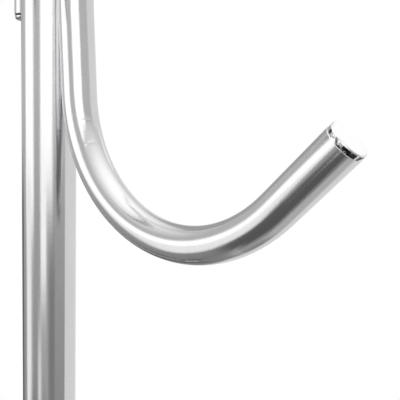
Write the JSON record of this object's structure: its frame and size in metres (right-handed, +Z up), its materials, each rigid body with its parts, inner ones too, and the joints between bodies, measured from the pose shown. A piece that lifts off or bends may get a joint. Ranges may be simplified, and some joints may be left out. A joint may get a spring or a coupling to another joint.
{
  "type": "four way clothing rack",
  "caption": "Floor-standing garment rack: telescopic round post on crossed legs, with hook arms and straight arms pointing four ways.",
  "frame": {"origin": "on the floor plane, on the axis of the post", "axes": "+Z up along the post; the low hook arm points along +X, the high hook arm along -Y, the low straight arm along -X, the high straight arm along +Y"},
  "size_m": [0.806, 0.806, 1.6582],
  "materials": {
    "satin_tube": "satin",
    "satin_base": "satin",
    "polished_cap": "polished",
    "plated_fastener": "plated",
    "dark_screw": "black oxide",
    "black_plastic": "matte",
    "foot_rubber": "matte"
  },
  "bodies": {
    "base": {"clamp_collar": "satin_base", "clamp_nut": "plated_fastener", "clamp_washer": "plated_fastener", "foot_insert_1": "plated_fastener", "foot_insert_2": "plated_fastener", "foot_insert_3": "plated_fastener", "foot_insert_4": "plated_fastener", "guide_bushing": "black_plastic", "hub": "satin_base", "hub_ring": "satin_base", "leg_1": "satin_base", "leg_2": "satin_base", "leg_3": "satin_base", "leg_4": "satin_base", "leg_plug_1": "black_plastic", "leg_plug_2": "black_plastic", "leg_plug_3": "black_plastic", "leg_plug_4": "black_plastic", "outer_post": "satin_tube", "set_screws": "dark_screw", "foot_nut_1": "plated_fastener", "foot_nut_2": "plated_fastener", "foot_nut_3": "plated_fastener", "foot_nut_4": "plated_fastener"},
    "mast": {"arm_bolts": "plated_fastener", "cap_nuts": "plated_fastener", "hook_arm_high": "satin_tube", "hook_arm_low": "satin_tube", "hook_shank_cap_high": "polished_cap", "hook_shank_cap_low": "polished_cap", "hook_tip_cap_high": "polished_cap", "hook_tip_cap_low": "polished_cap", "inner_post": "satin_tube", "post_cap": "polished_cap", "post_glide": "black_plastic", "saddle_washers": "plated_fastener", "straight_arm_high": "satin_tube", "straight_arm_low": "satin_tube", "straight_foot_cap_high": "polished_cap", "straight_foot_cap_low": "polished_cap", "straight_tip_cap_high": "polished_cap", "straight_tip_cap_low": "polished_cap"},
    "knob": {"knob_grip": "black_plastic", "knob_stud": "plated_fastener"},
    "foot_1": {"foot_pad_1": "foot_rubber", "foot_stud_1": "plated_fastener"},
    "foot_2": {"foot_pad_2": "foot_rubber", "foot_stud_2": "plated_fastener"},
    "foot_3": {"foot_pad_3": "foot_rubber", "foot_stud_3": "plated_fastener"},
    "foot_4": {"foot_pad_4": "foot_rubber", "foot_stud_4": "plated_fastener"}
  },
  "joints": [
    {"name": "post_height", "type": "slide", "parent": "base", "child": "mast", "axis": [0, 0, 1], "range_m": [-0.1, 0.25]},
    {"name": "clamp_knob_turn", "type": "hinge", "parent": "base", "child": "knob", "pos_m": [0.04, 0, 0.697], "axis": [0, -1, 0], "range_deg": [0, 540]},
    {"name": "foot_1_level", "type": "slide", "parent": "base", "child": "foot_1", "axis": [0, 0, 1], "range_m": [0, 0.006]},
    {"name": "foot_2_level", "type": "slide", "parent": "base", "child": "foot_2", "axis": [0, 0, 1], "range_m": [0, 0.006]},
    {"name": "foot_3_level", "type": "slide", "parent": "base", "child": "foot_3", "axis": [0, 0, 1], "range_m": [0, 0.006]},
    {"name": "foot_4_level", "type": "slide", "parent": "base", "child": "foot_4", "axis": [0, 0, 1], "range_m": [0, 0.006]}
  ]
}
